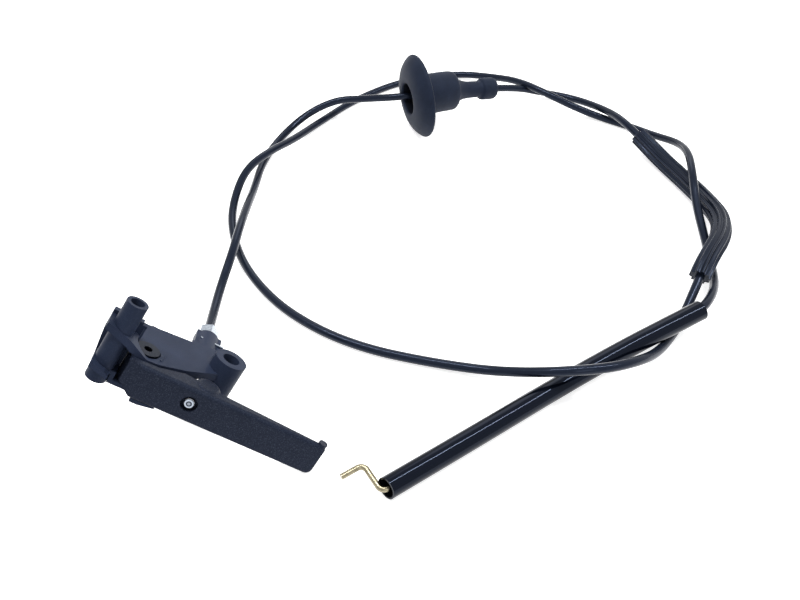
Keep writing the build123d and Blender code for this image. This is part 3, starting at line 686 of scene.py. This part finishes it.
def plated_steel(name, light, dark, patch_mm, rough_low, rough_high):
    """Plated steel whose tone and polish wander in patches."""
    material, tree, shader, where = new_material(name)
    patches = add_node(tree, "ShaderNodeTexNoise", None, Vector=where,
                       Scale=pattern_scale(patch_mm), Detail=4.0, Roughness=0.6)
    tint = add_node(tree, "ShaderNodeMix", {"data_type": "RGBA"}, _0=patches.outputs["Fac"])
    tint.inputs[6].default_value = linear(dark)
    tint.inputs[7].default_value = linear(light)
    tree.links.new(tint.outputs[2], shader.inputs["Base Color"])
    rough = add_node(tree, "ShaderNodeMapRange", None, Value=patches.outputs["Fac"])
    rough.inputs["To Min"].default_value = rough_low
    rough.inputs["To Max"].default_value = rough_high
    tree.links.new(rough.outputs["Result"], shader.inputs["Roughness"])
    shader.inputs["Metallic"].default_value = 1.0
    return material


def nipple_steel(name, rings):
    """Plated steel with rings round the wire, each a share of the nipple's radius and a colour."""
    material, tree, shader, where = new_material(name)
    away = add_node(tree, "ShaderNodeVectorMath", {"operation": "SUBTRACT"}, _0=where, _1=WIRE_IN_FACE)
    across = add_node(tree, "ShaderNodeVectorMath", {"operation": "CROSS_PRODUCT"},
                      _0=away.outputs[0], _1=WIRE_WAY)
    distance = add_node(tree, "ShaderNodeVectorMath", {"operation": "LENGTH"}, _0=across.outputs[0])
    share = add_node(tree, "ShaderNodeMath", {"operation": "DIVIDE"},
                     _0=distance.outputs["Value"], _1=NIPPLE_RADIUS)
    ramp = add_node(tree, "ShaderNodeValToRGB", None, Fac=share.outputs[0])
    for place, colour in rings:
        ramp.color_ramp.elements.new(place).color = linear(colour)
    tree.links.new(ramp.outputs["Color"], shader.inputs["Base Color"])
    shader.inputs["Metallic"].default_value = 1.0
    shader.inputs["Roughness"].default_value = NIPPLE_ROUGHNESS
    return material


nipple_zinc = nipple_steel("turned_zinc_nipple", (
    (0.10, "#8E959F"), (0.26, "#7A818C"), (0.34, "#23272E"), (0.50, "#2B3038"), (0.58, "#8E96A2"),
    (0.78, "#A9B1BC"), (0.94, "#4A515B"),
))
bright_zinc = plated_steel("bright_zinc_plate", "#C6CED8", "#6E7783",
                           patch_mm=2.2, rough_low=0.14, rough_high=0.30)
black_zinc = plated_steel("blackened_zinc_plate", "#1C2432", "#121824",
                          patch_mm=1.5, rough_low=0.30, rough_high=0.50)
yellow_zinc = plated_steel("yellow_passivated_zinc", "#A59D86", "#655F4C",
                           patch_mm=2.0, rough_low=0.18, rough_high=0.34)
drawn_steel = plated_steel("drawn_steel_wire", "#B9BEC6", "#83898F",
                           patch_mm=0.8, rough_low=0.25, rough_high=0.40)
dress(bright_zinc, "adjuster_nut", "retaining_clip", "conduit_ferrule", "conduit_end_cap", "wire_crimp")
dress(nipple_zinc, "wire_stop")
dress(black_zinc, "pivot_pin")
dress(yellow_zinc, "hook_rod")
dress(drawn_steel, "end_wire")
pull_wire.data.materials.append(drawn_steel)
print("materials", sorted(m.name for m in bpy.data.materials))

# %% [markdown]
# It could be left for a program to measure, but its middle line is known here and is handed over
# as it is.

# %% [markdown]
# ## Table, background and lamps
# The photograph is a cut-out on white. More light could turn the table white, but it would bleach
# the object too. So the floor is a pale sheet that takes soft shadows, and for the camera and in
# reflections alone it glows a little and the world is white. For all other light the world is an
# even grey. Four soft lamps do the rest: a wide one above, a long strip above for the bright lines
# along cable and sleeve, one behind, and one in front.

# %% Floor
FLOOR_REACH = 3.0
FLOOR_GLOW = 0.65
PAPER_ROUGHNESS = 0.9


def seen_share(tree):
    """1 for what the camera sees, straight, mirrored or through glass, and 0 for all other light."""
    path = add_node(tree, "ShaderNodeLightPath")
    seen = path.outputs["Is Camera Ray"]
    for ray in ("Is Glossy Ray", "Is Transmission Ray"):
        either = add_node(tree, "ShaderNodeMath", {"operation": "MAXIMUM"}, _0=seen, _1=path.outputs[ray])
        seen = either.outputs[0]
    return seen


floor_mesh = bmesh.new()
bmesh.ops.create_grid(floor_mesh, x_segments=1, y_segments=1, size=FLOOR_REACH)
floor = finish_mesh("floor", floor_mesh, None, smooth=False)
floor_paper, tree, shader, _ = new_material("white_paper")
shader.inputs["Base Color"].default_value = linear("#F4F4F4")
shader.inputs["Roughness"].default_value = PAPER_ROUGHNESS
glow = add_node(tree, "ShaderNodeMath", {"operation": "MULTIPLY"}, _0=seen_share(tree), _1=FLOOR_GLOW)
shader.inputs["Emission Color"].default_value = (1.0, 1.0, 1.0, 1.0)
tree.links.new(glow.outputs[0], shader.inputs["Emission Strength"])
floor.data.materials.append(floor_paper)

# %% World and lamps
DAYLIGHT = 0.45
SEEN_WHITE = 1.0
world = bpy.data.worlds.new("studio")
bpy.context.scene.world = world
world.use_nodes = True
tree = world.node_tree
background = tree.nodes["Background"]
background.inputs["Color"].default_value = (1.0, 1.0, 1.0, 1.0)
level = add_node(tree, "ShaderNodeMapRange", None, Value=seen_share(tree))
level.inputs["To Min"].default_value = DAYLIGHT
level.inputs["To Max"].default_value = SEEN_WHITE
tree.links.new(level.outputs["Result"], background.inputs["Strength"])


def soft_lamp(name, place, aim, wide, deep, watts):
    """A rectangular soft light that faces a point."""
    data = bpy.data.lights.new(name, "AREA")
    data.shape = "RECTANGLE"
    data.size = wide
    data.size_y = deep
    data.energy = watts
    lamp = bpy.data.objects.new(name, data)
    lamp.location = place
    lamp.rotation_mode = "QUATERNION"
    lamp.rotation_quaternion = (Vector(aim) - Vector(place)).to_track_quat("-Z", "Y")
    bpy.context.scene.collection.objects.link(lamp)


soft_lamp("lamp_above", (-0.35, 0.15, 1.1), aim=(0.1, 0.12, 0.0), wide=0.8, deep=0.8, watts=2.5)
soft_lamp("lamp_strip", (0.40, 0.16, 1.0), aim=(0.40, 0.16, 0.0), wide=1.8, deep=0.04, watts=15.0)
soft_lamp("lamp_behind", (0.15, 1.1, 0.8), aim=(0.1, 0.1, 0.0), wide=0.6, deep=0.6, watts=2.0)
soft_lamp("lamp_front", (0.5, -0.9, 0.7), aim=(0.1, 0.1, 0.0), wide=0.6, deep=0.6, watts=2.0)
bpy.context.scene.view_settings.view_transform = "Standard"
